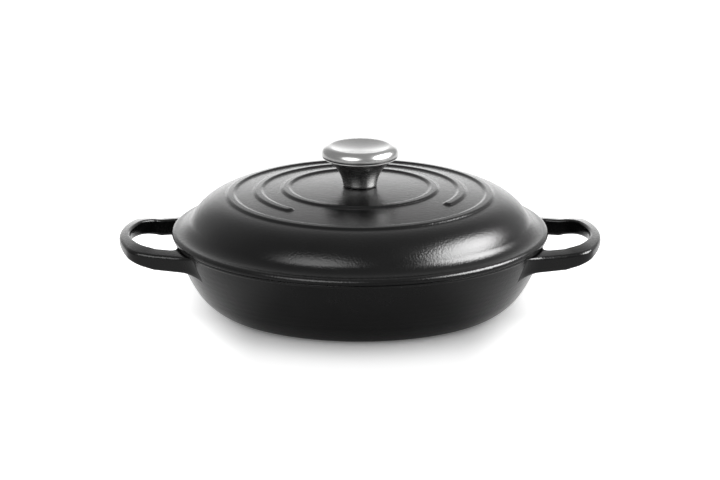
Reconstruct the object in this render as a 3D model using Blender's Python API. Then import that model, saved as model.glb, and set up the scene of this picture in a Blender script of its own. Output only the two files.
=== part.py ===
"""Shallow enamelled cast-iron casserole with a domed lid and a hollow stainless-steel knob.

Metres, +Z up. The origin is the centre of the base where it stands, and the two loop handles
lie along X. The pan and its handles are one casting, and the lid is another. The knob is two
pressed shells on a threaded insert, and a screw holds it from under the lid.
"""

import math

import bmesh
import bpy
from mathutils import Vector

# Smallest gap kept between two pieces that touch
SEAT_GAP = 0.0003

# Pan casting; angles in degrees are measured from the horizontal
BASE_RADIUS = 0.1058
BASE_EDGE_RADIUS = 0.004
BASE_RECESS_RADIUS = 0.096
BASE_RECESS_DEPTH = 0.0008
PAN_FLOOR = 0.0048
PAN_WALL = 0.0045
PAN_HEIGHT = 0.0490
WALL_START_ANGLE = 33.0
WALL_LOWER_RADIUS = 0.0389
WALL_BEND_ANGLE = 57.1
WALL_UPPER_RADIUS = 0.1097
FLOOR_JOIN_ANGLE = 45.0
RIM_BAND_HEIGHT = 0.0022
RIM_BAND_PROUD = 0.0006
RIM_EDGE = 0.0007

# Loop handles, cast with the pan; their outlines are seen from above
LOOP_REACH = 0.1743
LOOP_END_WIDTH = 0.0080
LOOP_OUTER_BOW_RADIUS = 0.104
LOOP_OUTER_BOW_ANGLE = 21.5
LOOP_OUTER_CORNER_RADIUS = 0.016
LOOP_OUTER_SPLAY = 14.0
LOOP_INNER_BOW_RADIUS = 0.060
LOOP_INNER_BOW_ANGLE = 26.0
LOOP_INNER_CORNER_RADIUS = 0.019
LOOP_INNER_SPLAY = 19.0
LOOP_TOP_AT_RIM = 0.0453
LOOP_TOP_AT_TIP = 0.0495
LOOP_BOTTOM_AT_RIM = 0.0312
LOOP_BOTTOM_AT_TIP = 0.0443
LOOP_HOLE_BOTTOM_AT_RIM = 0.0341
LOOP_HOLE_BOTTOM_AT_TIP = 0.0413
LOOP_LEAN = 0.16
LOOP_EDGE = 0.0024
LOOP_ROOT_FILLET = 0.0105
LOOP_ROOT_INNER_SPREAD = 1.4
LOOP_ROOT_OUTER_SPREAD = 0.6
LOOP_ROOT_DROP = 0.5
LOOP_ROOT_TURNS = (0.0, 30.0, 55.0, 72.0, 81.0)

# Lid casting
LID_OVERHANG = 0.0013
LID_RIM_THICKNESS = 0.0044
LID_RIM_ROUND = 0.0032
LID_RIM_EDGE = 0.0008
LID_RIM_LAND = 0.0012
LID_WALL = 0.0042
DOME_EDGE_ANGLE = 8.1
SHOULDER_RADIUS = 0.0359
SHOULDER_ANGLE = 60.0
SHOULDER_RUN = 0.0004
FLARE_RADIUS = 0.0130
FLARE_ANGLE = 8.0
COLLAR_CLEARANCE = 0.0012
COLLAR_DEPTH = 0.0035
COLLAR_WIDTH = 0.0038
COLLAR_EDGE = 0.0007

# The three raised rings on the lid; the middle one is broken at the front
RING_INNER_RADIUS = 0.0534
RING_PITCH = 0.0200
RING_COUNT = 3
RING_FLAT = 0.0016
RING_FLANK = 0.0028
RING_HEIGHT = 0.0014
BROKEN_RING = 1
RING_BREAK_CENTRE = 7.7
RING_BREAK_ANGLE = 102.7

# Knob: the cap, and the stem that flares up to it
KNOB_RADIUS = 0.0275
KNOB_HEIGHT = 0.0292
KNOB_WALL = 0.0012
KNOB_SIDE_RADIUS = 0.0058
KNOB_DISH_ANGLE = 14.0
KNOB_SEAM_ANGLE = 108.0
KNOB_FOOT_RADIUS = 0.0117
KNOB_FOOT_EDGE = 0.0005
KNOB_FOOT_THICKNESS = 0.0016
KNOB_STEM_ANGLE = 84.0
KNOB_SEAT_MARGIN = 0.0010
STEM_LIP_INSET = 0.0004
STEM_LIP_EDGE = 0.0004
SPIGOT_HEIGHT = 0.0014
SPIGOT_WALL = 0.0010

# Insert, screw and washer
SCREW_RADIUS = 0.0030
SCREW_CLEARANCE = 0.0003
SCREW_GRIP = 0.0095
SCREW_TIP_CHAMFER = 0.0005
SCREW_HEAD_RADIUS = 0.0056
SCREW_HEAD_HEIGHT = 0.0034
SCREW_HEAD_SIDE = 0.0010
SCREW_RECESS_LENGTH = 0.0056
SCREW_RECESS_WIDTH = 0.0013
SCREW_RECESS_DEPTH = 0.0018
INSERT_RADIUS = 0.0055
INSERT_FLANGE_RADIUS = 0.0080
INSERT_FLANGE_THICKNESS = 0.0015
INSERT_LENGTH = 0.0130
WASHER_RADIUS = 0.0085
WASHER_THICKNESS = 0.0012
WASHER_EDGE = 0.0002

# Facets
PAN_SEGMENTS = 60
LID_SEGMENTS = 52
KNOB_SEGMENTS = 32
SCREW_SEGMENTS = 20
RING_END_STEP = 1.6
RING_END_STEPS = 3

LOOP_HOLE_REACH = LOOP_REACH - LOOP_END_WIDTH
KNOB_SEAT_RADIUS = KNOB_FOOT_RADIUS + KNOB_SEAT_MARGIN
RING_FOOT = RING_FLAT + RING_FLANK
SCREW_BORE = SCREW_RADIUS + SCREW_CLEARANCE
WASHER_TOP = -SEAT_GAP - LID_WALL - SEAT_GAP
SCREW_HEAD_TOP = WASHER_TOP - WASHER_THICKNESS - SEAT_GAP
SCREW_HEAD_LOW = SCREW_HEAD_TOP - SCREW_HEAD_HEIGHT


def clear_scene():
    for item in list(bpy.data.objects):
        bpy.data.objects.remove(item, do_unlink=True)


def material(name, colour, roughness, metallic):
    finish = bpy.data.materials.new(name)
    finish.use_nodes = True
    shader = finish.node_tree.nodes["Principled BSDF"]
    shader.inputs["Base Color"].default_value = (*colour, 1.0)
    shader.inputs["Roughness"].default_value = roughness
    shader.inputs["Metallic"].default_value = metallic
    return finish


def enamel(name):
    return material(name, (0.012, 0.012, 0.013), 0.36, 0.0)


def steel(name, grey, roughness):
    return material(name, (grey, grey, grey * 0.98), roughness, 1.0)


def add_object(name, shape, finish, parent=None):
    mesh = bpy.data.meshes.new(name)
    shape.to_mesh(mesh)
    shape.free()
    mesh.materials.append(finish)
    mesh.shade_smooth()
    mesh.set_sharp_from_angle(angle=math.radians(38.0))
    item = bpy.data.objects.new(name, mesh)
    item.parent = parent
    bpy.context.collection.objects.link(item)
    return item


def add_pivot(name, height, parent=None):
    pivot = bpy.data.objects.new(name, None)
    pivot.location = (0.0, 0.0, height)
    pivot.parent = parent
    bpy.context.collection.objects.link(pivot)
    return pivot


def combine(target, guide, operation):
    """Joins guide to target, or cuts it out, with a live Boolean."""
    guide.hide_render = True
    guide.display_type = "WIRE"
    modifier = target.modifiers.new(guide.name, "BOOLEAN")
    modifier.operation = operation
    modifier.solver = "EXACT"
    modifier.object = guide


def sweep(start, heading, new_heading, radius, steps):
    """The points of an arc that leaves start along heading and ends along new_heading.

    Headings are in degrees, 0 along the first axis and 90 along the second. The start isn't
    repeated, and each point comes with its own heading.
    """
    turn = math.copysign(radius, new_heading - heading)
    first = math.radians(heading)
    points = []
    for step in range(1, steps + 1):
        now = math.radians(heading + (new_heading - heading) * step / steps)
        across = start[0] + turn * (math.sin(now) - math.sin(first))
        up = start[1] + turn * (math.cos(first) - math.cos(now))
        points.append((across, up, math.degrees(now)))
    return points


def ahead(point, distance):
    """The point a distance further along a point's heading."""
    across, up, heading = point
    angle = math.radians(heading)
    return across + distance * math.cos(angle), up + distance * math.sin(angle), heading


def offset(points, distance):
    """Points moved to the left of their heading by distance."""
    moved = []
    for across, up, heading in points:
        angle = math.radians(heading)
        moved.append((across - distance * math.sin(angle), up + distance * math.cos(angle), heading))
    return moved


def rounded(radius, height, out, up, edge):
    """Three points round a corner, from its level side to its upright side."""
    cut = edge * (1.0 - math.sqrt(0.5))
    return [
        (radius - out * edge, height),
        (radius - out * cut, height - up * cut),
        (radius, height - up * edge),
    ]


def turned(profile, angles):
    """A solid turned about Z from a profile that starts and ends on the axis, or is a ring."""
    shape = bmesh.new()
    corners = [shape.verts.new((point[0], 0.0, point[1])) for point in profile]
    edges = [shape.edges.new(pair) for pair in zip(corners, corners[1:])]
    if profile[0][0] > 0.0:
        edges.append(shape.edges.new((corners[-1], corners[0])))
    for angle in angles:
        spun = bmesh.ops.spin(
            shape, geom=edges, cent=(0, 0, 0), axis=(0, 0, 1), angle=angle, steps=1, use_duplicate=False
        )
        edges = [part for part in spun["geom_last"] if isinstance(part, bmesh.types.BMEdge)]
    bmesh.ops.remove_doubles(shape, verts=shape.verts, dist=1e-6)
    bmesh.ops.recalc_face_normals(shape, faces=shape.faces)
    return shape


def even_angles(count):
    return [math.tau / count] * count


def bridged(rings):
    """A solid from rings of corners, one joined to the next, with flat ends."""
    shape = bmesh.new()
    made = [[shape.verts.new(corner) for corner in ring] for ring in rings]
    for ring, following in zip(made, made[1:]):
        for index in range(len(ring)):
            after = (index + 1) % len(ring)
            shape.faces.new((ring[index], ring[after], following[after], following[index]))
    shape.faces.new(made[0])
    shape.faces.new(made[-1])
    bmesh.ops.triangulate(shape, faces=shape.faces)
    bmesh.ops.recalc_face_normals(shape, faces=shape.faces)
    return shape


# The pan and its loop handles


def wall_profile():
    """The outer wall from the base's edge up to the rim band, with headings."""
    foot = (BASE_RADIUS, 0.0, 0.0)
    edge = sweep(foot, 0.0, WALL_START_ANGLE, BASE_EDGE_RADIUS, 2)
    lower = sweep(edge[-1], WALL_START_ANGLE, WALL_BEND_ANGLE, WALL_LOWER_RADIUS, 4)
    rise = PAN_HEIGHT - RIM_BAND_HEIGHT - lower[-1][1]
    end_cosine = math.cos(math.radians(WALL_BEND_ANGLE)) - rise / WALL_UPPER_RADIUS
    end_angle = math.degrees(math.acos(end_cosine))
    return [foot] + edge + lower + sweep(lower[-1], WALL_BEND_ANGLE, end_angle, WALL_UPPER_RADIUS, 5)


def wall_radius(height):
    """The outer wall's radius at a height, between the points of its profile."""
    points = wall_profile()
    for low, high in zip(points, points[1:]):
        if low[1] < high[1] and low[1] <= height <= high[1]:
            share = (height - low[1]) / (high[1] - low[1])
            return low[0] + share * (high[0] - low[0])
    return points[-1][0]


def rim_radius():
    return wall_profile()[-1][0] + RIM_BAND_PROUD


def mouth_radius():
    return offset(wall_profile()[-1:], PAN_WALL)[0][0]


def pan_profile():
    outer = wall_profile()
    recess = [
        (0.0, BASE_RECESS_DEPTH),
        (BASE_RECESS_RADIUS - BASE_RECESS_DEPTH, BASE_RECESS_DEPTH),
        (BASE_RECESS_RADIUS, 0.0),
    ]
    band = [(rim_radius(), PAN_HEIGHT - RIM_BAND_HEIGHT + RIM_BAND_PROUD)]
    rim = rounded(rim_radius(), PAN_HEIGHT, 1, 1, RIM_EDGE)[::-1]
    lip = rounded(mouth_radius(), PAN_HEIGHT, -1, 1, RIM_EDGE)
    inner = [point for point in offset(outer, PAN_WALL) if point[2] >= FLOOR_JOIN_ANGLE]
    inner = [point for point in inner if point[1] < PAN_HEIGHT - 2 * RIM_EDGE]
    join = inner[0]
    fillet = (join[1] - PAN_FLOOR) / (1.0 - math.cos(math.radians(join[2])))
    flat = (join[0] - fillet * math.sin(math.radians(join[2])), PAN_FLOOR)
    bottom = sweep(flat, 0.0, join[2], fillet, 3)[:-1]
    return recess + outer + band + rim + lip + inner[::-1] + bottom[::-1] + [flat, (0.0, PAN_FLOOR)]


def loop_outline(reach, bow_radius, bow_angle, corner_radius, splay, run_end):
    """Half of a loop's outline from above, from its tip on the X axis to run_end on its side."""
    bow = sweep((reach, 0.0), 90.0, 90.0 + bow_angle, bow_radius, 3)
    corner = sweep(bow[-1], 90.0 + bow_angle, 180.0 - splay, corner_radius, 5)
    start = corner[-1]
    run = (start[0] - run_end) / 2
    slope = math.tan(math.radians(splay))
    straight = [(start[0] - run * step, start[1] + run * step * slope) for step in (1, 2)]
    return [(reach, 0.0)] + [point[:2] for point in bow + corner] + straight


def loop_heights(reach):
    """The heights of a bar's top and bottom at its outer side, and of its bottom at the hole."""
    share = (reach - rim_radius()) / (LOOP_REACH - rim_radius())
    top = LOOP_TOP_AT_RIM + share * (LOOP_TOP_AT_TIP - LOOP_TOP_AT_RIM)
    outer = LOOP_BOTTOM_AT_RIM + share * (LOOP_BOTTOM_AT_TIP - LOOP_BOTTOM_AT_RIM)
    inner = LOOP_HOLE_BOTTOM_AT_RIM + share * (LOOP_HOLE_BOTTOM_AT_TIP - LOOP_HOLE_BOTTOM_AT_RIM)
    return top, outer, inner


def loop_section(outer, inner):
    """The bar's rounded section between two outline points, with each corner's way outward."""
    outer = Vector(outer)
    inner = Vector(inner)
    middle = (outer + inner) / 2
    half = (outer - inner).length / 2
    across = (outer - inner).normalized()
    top, outer_low, inner_low = loop_heights(middle.x)
    corners = []
    for quarter in range(4):
        side = 1.0 if quarter in (0, 3) else -1.0
        level = 1.0 if quarter in (0, 1) else -1.0
        drop = 0.0 if level > 0.0 else LOOP_ROOT_DROP
        widen = LOOP_ROOT_OUTER_SPREAD if side > 0.0 else LOOP_ROOT_INNER_SPREAD
        spread = across * (side * widen)
        for turn in (0.0, 45.0, 90.0):
            angle = math.radians(90.0 * quarter + turn)
            aside = side * (half - LOOP_EDGE) + LOOP_EDGE * math.cos(angle)
            place = middle + across * aside
            inward = half - aside
            high = top + LOOP_LEAN * inward - LOOP_EDGE
            low = outer_low + (inner_low - outer_low) * inward / (2 * half) + LOOP_EDGE
            up = (high if level > 0.0 else low) + LOOP_EDGE * math.sin(angle)
            away = Vector((spread.x, spread.y, drop * math.sin(angle)))
            corners.append((Vector((place.x, place.y, up)), away))
    return corners


def meet_wall(corner, heading, radius):
    """How far a level line from corner along heading runs before it is radius from the axis."""
    along = corner.x * heading.x + corner.y * heading.y
    spare = corner.x**2 + corner.y**2 - radius**2
    return -along - math.sqrt(along**2 - spare)


def loop_root(section, heading):
    """Rings that carry each corner of the last section through a fillet, and the last into the wall."""
    rings = []
    for turn in LOOP_ROOT_TURNS:
        short = LOOP_ROOT_FILLET * (1.0 - math.sin(math.radians(turn)))
        spread = LOOP_ROOT_FILLET * (1.0 - math.cos(math.radians(turn)))
        if turn == LOOP_ROOT_TURNS[-1]:
            short = -PAN_WALL / 2
        ring = []
        for corner, away in section:
            place = corner + away * spread
            place += heading * (meet_wall(place, heading, wall_radius(place.z)) - short)
            ring.append(place)
        rings.append(ring)
    return rings


def loop_rings():
    """The rings of corners of a whole loop at +X, from its root at +Y to its root at -Y."""
    run_end = rim_radius() + LOOP_ROOT_FILLET
    outer = loop_outline(
        LOOP_REACH,
        LOOP_OUTER_BOW_RADIUS,
        LOOP_OUTER_BOW_ANGLE,
        LOOP_OUTER_CORNER_RADIUS,
        LOOP_OUTER_SPLAY,
        run_end,
    )
    inner = loop_outline(
        LOOP_HOLE_REACH,
        LOOP_INNER_BOW_RADIUS,
        LOOP_INNER_BOW_ANGLE,
        LOOP_INNER_CORNER_RADIUS,
        LOOP_INNER_SPLAY,
        run_end,
    )
    sections = [loop_section(far, near) for far, near in zip(outer, inner)]
    splay = math.radians((LOOP_OUTER_SPLAY + LOOP_INNER_SPLAY) / 2)
    heading = Vector((-math.cos(splay), math.sin(splay), 0.0))
    half = [[corner for corner, away in section] for section in sections[:-1]]
    half += loop_root(sections[-1], heading)
    mirrored = [[Vector((corner.x, -corner.y, corner.z)) for corner in ring] for ring in half[1:]]
    return half[::-1] + mirrored


def make_pan():
    finish = enamel("pan_enamel")
    pan = add_object("pan_casting", turned(pan_profile(), even_angles(PAN_SEGMENTS)), finish)
    for side, name in ((1, "right_loop_guide"), (-1, "left_loop_guide")):
        rings = [[(side * corner.x, side * corner.y, corner.z) for corner in ring] for ring in loop_rings()]
        combine(pan, add_object(name, bridged(rings), finish), "UNION")


# The lid, whose own zero height is the underside of its rim


def lid_fall():
    """How far out and down the lid runs from its dome's edge to the outside and the top of its rim."""
    dome = math.radians(DOME_EDGE_ANGLE)
    shoulder = math.radians(SHOULDER_ANGLE)
    flare = math.radians(FLARE_ANGLE)
    run = SHOULDER_RADIUS * (math.sin(shoulder) - math.sin(dome)) + SHOULDER_RUN * math.cos(shoulder)
    run += FLARE_RADIUS * (math.sin(shoulder) - math.sin(flare)) + LID_RIM_LAND * math.cos(flare)
    run += LID_RIM_ROUND * (1.0 - math.sin(flare))
    drop = SHOULDER_RADIUS * (math.cos(dome) - math.cos(shoulder)) + SHOULDER_RUN * math.sin(shoulder)
    drop += FLARE_RADIUS * (math.cos(flare) - math.cos(shoulder)) + LID_RIM_LAND * math.sin(flare)
    drop -= LID_RIM_ROUND * (1.0 - math.cos(flare))
    return run, drop


def dome_edge():
    """The radius where the dome turns down into the shoulder."""
    return rim_radius() + LID_OVERHANG - lid_fall()[0]


def dome_drop(radius):
    """How far the dome's surface is below the knob's seat at a radius."""
    sphere = dome_edge() / math.sin(math.radians(DOME_EDGE_ANGLE))
    return math.sqrt(sphere**2 - KNOB_SEAT_RADIUS**2) - math.sqrt(sphere**2 - radius**2)


def lid_rise():
    """The height of the knob's seat above the rim's underside."""
    return LID_RIM_THICKNESS + lid_fall()[1] + dome_drop(dome_edge())


def ring_radii():
    return [RING_INNER_RADIUS + RING_PITCH * index for index in range(RING_COUNT)]


def top_point(radius):
    """The lid's top without its rings at a radius, on the dome or on the shoulder, with its heading."""
    edge = dome_edge()
    slope = math.sin(math.radians(DOME_EDGE_ANGLE))
    if radius <= edge:
        return radius, lid_rise() - dome_drop(radius), -math.degrees(math.asin(radius * slope / edge))
    turn = math.asin(slope + (radius - edge) / SHOULDER_RADIUS)
    drop = SHOULDER_RADIUS * (math.cos(math.radians(DOME_EDGE_ANGLE)) - math.cos(turn))
    return radius, lid_rise() - dome_drop(edge) - drop, -math.degrees(turn)


def ring_reach():
    """The radius where the last ring ends."""
    return ring_radii()[-1] + RING_FOOT


def dome_points():
    """The top's points with headings, from the knob's seat past the last ring and the dome's edge."""
    flank = RING_FLAT + RING_FLANK / 2
    radii = [KNOB_SEAT_RADIUS]
    for crest in ring_radii():
        radii += [crest + step for step in (-RING_FOOT, -flank, -RING_FLAT, RING_FLAT, flank, RING_FOOT)]
    if radii[-1] < dome_edge():
        radii.append(dome_edge())
    return [top_point(radius) for radius in radii]


def lid_profile():
    dome = dome_points()
    shoulder = sweep(dome[-1], dome[-1][2], -SHOULDER_ANGLE, SHOULDER_RADIUS, 6)
    skirt = ahead(shoulder[-1], SHOULDER_RUN)
    flare = sweep(skirt, -SHOULDER_ANGLE, -FLARE_ANGLE, FLARE_RADIUS, 4)
    land = ahead(flare[-1], LID_RIM_LAND)
    rim = sweep(land, -FLARE_ANGLE, -90.0, LID_RIM_ROUND, 4)
    rim += rounded(rim_radius() + LID_OVERHANG, 0.0, 1, -1, LID_RIM_EDGE)[::-1]
    collar = mouth_radius() - COLLAR_CLEARANCE
    spigot = [(collar, 0.0)]
    spigot += rounded(collar, -COLLAR_DEPTH, 1, -1, COLLAR_EDGE)[::-2]
    spigot += rounded(collar - COLLAR_WIDTH, -COLLAR_DEPTH, -1, -1, COLLAR_EDGE)[::2]
    under = offset(shoulder, -LID_WALL)[::-2] + offset([dome[-1], dome[len(dome) // 2]], -LID_WALL)
    seat = lid_rise()
    hub = [
        (KNOB_SEAT_RADIUS, seat - LID_WALL),
        (SCREW_BORE, seat - LID_WALL),
        (SCREW_BORE, seat),
    ]
    return dome + shoulder + [skirt] + flare + [land] + rim + spigot + under + hub


def ring_ends():
    """The angles of the broken ring's two ends about Z, in degrees from +X."""
    half = RING_BREAK_ANGLE / 2
    return RING_BREAK_CENTRE - 90.0 - half, RING_BREAK_CENTRE - 90.0 + half


def lid_angles():
    """Turning steps from the X axis, finer near the ends of the broken ring."""
    stops = [0.0, 360.0]
    for end in ring_ends():
        for step in range(-RING_END_STEPS, RING_END_STEPS + 1):
            stops.append((end + RING_END_STEP * step) % 360.0)
    stops.sort()
    steps = []
    for low, high in zip(stops, stops[1:]):
        count = max(1, round((high - low) * LID_SEGMENTS / 360.0))
        steps += [math.radians((high - low) / count)] * count
    return steps


def broken_ring_distance(corner, crest):
    """The distance in plan from a point to the middle line of the broken ring."""
    left, right = ring_ends()
    angle = math.degrees(math.atan2(corner.y, corner.x))
    if (angle - left) % 360.0 > right - left:
        return abs(corner.xy.length - crest)
    distances = []
    for end in (left, right):
        turn = math.radians(end)
        distances.append((corner.xy - Vector((math.cos(turn), math.sin(turn))) * crest).length)
    return min(distances)


def ring_lift(away):
    """How far a ring lifts the top at a distance from its middle line: flat, then a smooth flank."""
    share = min(max((away - RING_FLAT) / RING_FLANK, 0.0), 1.0)
    return RING_HEIGHT * 0.5 * (1.0 + math.cos(math.pi * share))


def raise_rings(shape):
    """Lifts the corners of the lid's top into the raised rings."""
    for corner in shape.verts:
        radius = corner.co.xy.length
        if not KNOB_SEAT_RADIUS < radius < ring_reach():
            continue
        if corner.co.z < top_point(radius)[1] - LID_WALL / 2:
            continue
        for index, crest in enumerate(ring_radii()):
            away = abs(radius - crest)
            if index == BROKEN_RING:
                away = broken_ring_distance(corner.co, crest)
            corner.co.z += ring_lift(away)


def make_lid():
    pivot = add_pivot("lid_pivot", PAN_HEIGHT + SEAT_GAP)
    shape = turned(lid_profile(), lid_angles())
    raise_rings(shape)
    add_object("lid_casting", shape, enamel("lid_enamel"), pivot)
    return pivot


# The knob, whose own zero height is the underside of its foot


def cap_points():
    """The cap's outside with headings, from the middle of its dish to its lower edge."""
    turn = math.radians(KNOB_DISH_ANGLE)
    edge = (
        KNOB_RADIUS - KNOB_SIDE_RADIUS * (1.0 + math.sin(turn)),
        KNOB_HEIGHT - KNOB_SIDE_RADIUS * (1.0 - math.cos(turn)),
    )
    sphere = edge[0] / math.sin(turn)
    floor = (0.0, edge[1] - sphere * (1.0 - math.cos(turn)), 0.0)
    dish = sweep(floor, 0.0, KNOB_DISH_ANGLE, sphere, 3)
    return [floor] + dish + sweep(dish[-1], KNOB_DISH_ANGLE, -KNOB_SEAM_ANGLE, KNOB_SIDE_RADIUS, 8)


def cap_profile():
    outer = cap_points()
    return outer + offset(outer, -KNOB_WALL)[::-1]


def stem_profile():
    """The stem's shell: one arc flares from its foot to a lip that the cap's lower edge covers."""
    seam = cap_points()[-1]
    shelf = seam[1] - SEAT_GAP
    foot = (KNOB_FOOT_RADIUS + KNOB_FOOT_EDGE, KNOB_FOOT_EDGE, KNOB_STEM_ANGLE)
    run = seam[0] - STEM_LIP_INSET - foot[0]
    climb = shelf - STEM_LIP_EDGE - foot[1]
    lean = math.degrees(math.atan2(climb, run))
    turn = KNOB_STEM_ANGLE - lean
    radius = math.hypot(run, climb) / (2.0 * math.sin(math.radians(turn)))
    flare = [foot] + sweep(foot, KNOB_STEM_ANGLE, lean - turn, radius, 6)
    spigot_outer = offset([seam], -KNOB_WALL)[0][0] - SEAT_GAP
    spigot_inner = spigot_outer - SPIGOT_WALL
    first = math.radians(KNOB_STEM_ANGLE)
    centre = (foot[0] + radius * math.sin(first), foot[1] - radius * math.cos(first))
    under_lip = centre[1] + math.sqrt((radius + KNOB_WALL) ** 2 - (centre[0] - spigot_inner) ** 2)
    lip = [
        (flare[-1][0], shelf),
        (spigot_outer, shelf),
        (spigot_outer, shelf + SPIGOT_HEIGHT),
        (spigot_inner, shelf + SPIGOT_HEIGHT),
        (spigot_inner, under_lip),
    ]
    inner = [point for point in offset(flare, KNOB_WALL) if point[0] < spigot_inner - SPIGOT_WALL / 2]
    inner = [point for point in inner if point[1] > KNOB_FOOT_THICKNESS + KNOB_WALL / 2]
    floor = [
        (inner[0][0] - KNOB_WALL, KNOB_FOOT_THICKNESS),
        (SCREW_BORE, KNOB_FOOT_THICKNESS),
        (SCREW_BORE, 0.0),
        (KNOB_FOOT_RADIUS, 0.0),
    ]
    return flare + lip + inner[::-1] + floor


def insert_profile():
    low = KNOB_FOOT_THICKNESS + SEAT_GAP
    return [
        (SCREW_BORE, low),
        (INSERT_FLANGE_RADIUS, low),
        (INSERT_FLANGE_RADIUS, low + INSERT_FLANGE_THICKNESS),
        (INSERT_RADIUS, low + INSERT_FLANGE_THICKNESS),
        (INSERT_RADIUS, low + INSERT_LENGTH),
        (SCREW_BORE, low + INSERT_LENGTH),
    ]


def washer_profile():
    low = WASHER_TOP - WASHER_THICKNESS
    hole = SCREW_BORE + WASHER_EDGE
    rim = rounded(WASHER_RADIUS, WASHER_TOP, 1, 1, WASHER_EDGE)[::2]
    rim += rounded(WASHER_RADIUS, low, 1, -1, WASHER_EDGE)[::-2]
    return [(hole, WASHER_TOP)] + rim + [(hole, low)]


def screw_profile():
    crown = []
    for turn in (80.0, 50.0, 25.0):
        angle = math.radians(turn)
        drop = SCREW_HEAD_SIDE + (SCREW_HEAD_HEIGHT - SCREW_HEAD_SIDE) * math.cos(angle)
        crown.append((SCREW_HEAD_RADIUS * math.sin(angle), SCREW_HEAD_TOP - drop))
    shank = [
        (0.0, SCREW_GRIP),
        (SCREW_RADIUS - SCREW_TIP_CHAMFER, SCREW_GRIP),
        (SCREW_RADIUS, SCREW_GRIP - SCREW_TIP_CHAMFER),
        (SCREW_RADIUS, SCREW_HEAD_TOP),
        (SCREW_HEAD_RADIUS, SCREW_HEAD_TOP),
    ]
    return shank + crown + [(0.0, SCREW_HEAD_LOW)]


def cross_rings(length, width, low, high):
    """The corners of a cross-shaped recess at two heights."""
    arm = length / 2
    half = width / 2
    outline = []
    for quarter in range(4):
        turn = math.pi / 2 * quarter
        for across, along in ((half, half), (arm, half), (arm, -half)):
            x = across * math.cos(turn) + along * math.sin(turn)
            y = along * math.cos(turn) - across * math.sin(turn)
            outline.append((x, y))
    return [[(x, y, height) for x, y in outline] for height in (low, high)]


def make_knob(lid_pivot):
    pivot = add_pivot("knob_pivot", lid_rise() + SEAT_GAP, lid_pivot)
    knob = even_angles(KNOB_SEGMENTS)
    small = even_angles(SCREW_SEGMENTS)
    add_object("knob_cap", turned(cap_profile(), knob), steel("cap_steel", 0.42, 0.30), pivot)
    add_object("knob_stem", turned(stem_profile(), knob), steel("stem_steel", 0.38, 0.28), pivot)
    add_object("knob_insert", turned(insert_profile(), small), steel("insert_steel", 0.45, 0.40), pivot)
    add_object("screw_washer", turned(washer_profile(), small), steel("washer_steel", 0.50, 0.35), pivot)
    finish = steel("screw_steel", 0.50, 0.30)
    screw = add_object("knob_screw", turned(screw_profile(), small), finish, pivot)
    recess = cross_rings(
        SCREW_RECESS_LENGTH,
        SCREW_RECESS_WIDTH,
        SCREW_HEAD_LOW - SCREW_RECESS_DEPTH,
        SCREW_HEAD_LOW + SCREW_RECESS_DEPTH,
    )
    combine(screw, add_object("recess_guide", bridged(recess), finish, pivot), "DIFFERENCE")


clear_scene()
make_pan()
make_knob(make_lid())
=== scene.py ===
"""Looks of the shallow enamelled casserole: fine castings, a brushed knob, and a white studio.

Metres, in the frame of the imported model: +Z up, the loop handles along X, the front towards -Y.
"""

import math

import bmesh
import bpy
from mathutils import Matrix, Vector


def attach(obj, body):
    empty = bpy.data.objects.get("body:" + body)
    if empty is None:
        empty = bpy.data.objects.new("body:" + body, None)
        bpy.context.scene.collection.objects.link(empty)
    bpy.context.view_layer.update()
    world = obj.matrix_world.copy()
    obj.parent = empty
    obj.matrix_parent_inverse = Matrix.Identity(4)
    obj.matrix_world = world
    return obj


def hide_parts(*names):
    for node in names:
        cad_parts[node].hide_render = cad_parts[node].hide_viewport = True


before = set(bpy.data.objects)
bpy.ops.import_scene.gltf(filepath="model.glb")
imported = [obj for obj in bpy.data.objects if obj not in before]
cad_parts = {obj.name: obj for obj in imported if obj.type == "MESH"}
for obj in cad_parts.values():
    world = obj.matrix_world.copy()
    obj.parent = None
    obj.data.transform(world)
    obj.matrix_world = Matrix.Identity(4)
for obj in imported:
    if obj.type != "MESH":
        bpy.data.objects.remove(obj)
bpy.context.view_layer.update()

# Sizes are those of the solids; angles in degrees are measured from the horizontal
SEAT_GAP = 0.0003
BASE_RADIUS = 0.1058
BASE_EDGE_RADIUS = 0.004
BASE_RECESS_RADIUS = 0.096
BASE_RECESS_DEPTH = 0.0008
PAN_FLOOR = 0.0048
PAN_WALL = 0.0045
PAN_HEIGHT = 0.0490
WALL_START_ANGLE = 33.0
WALL_LOWER_RADIUS = 0.0389
WALL_BEND_ANGLE = 57.1
WALL_UPPER_RADIUS = 0.1097
FLOOR_JOIN_ANGLE = 45.0
RIM_BAND_HEIGHT = 0.0022
RIM_BAND_PROUD = 0.0006
RIM_EDGE = 0.0007

LOOP_REACH = 0.1743
LOOP_END_WIDTH = 0.0080
LOOP_OUTER_BOW_RADIUS = 0.104
LOOP_OUTER_BOW_ANGLE = 21.5
LOOP_OUTER_CORNER_RADIUS = 0.016
LOOP_OUTER_SPLAY = 14.0
LOOP_INNER_BOW_RADIUS = 0.060
LOOP_INNER_BOW_ANGLE = 26.0
LOOP_INNER_CORNER_RADIUS = 0.019
LOOP_INNER_SPLAY = 19.0
LOOP_TOP_AT_RIM = 0.0453
LOOP_TOP_AT_TIP = 0.0495
LOOP_BOTTOM_AT_RIM = 0.0312
LOOP_BOTTOM_AT_TIP = 0.0443
LOOP_HOLE_BOTTOM_AT_RIM = 0.0341
LOOP_HOLE_BOTTOM_AT_TIP = 0.0413
LOOP_LEAN = 0.16
LOOP_EDGE = 0.0024
LOOP_ROOT_FILLET = 0.0105
LOOP_ROOT_INNER_SPREAD = 1.4
LOOP_ROOT_OUTER_SPREAD = 0.6
LOOP_ROOT_DROP = 0.5
LOOP_BURIED = 0.0012

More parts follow.
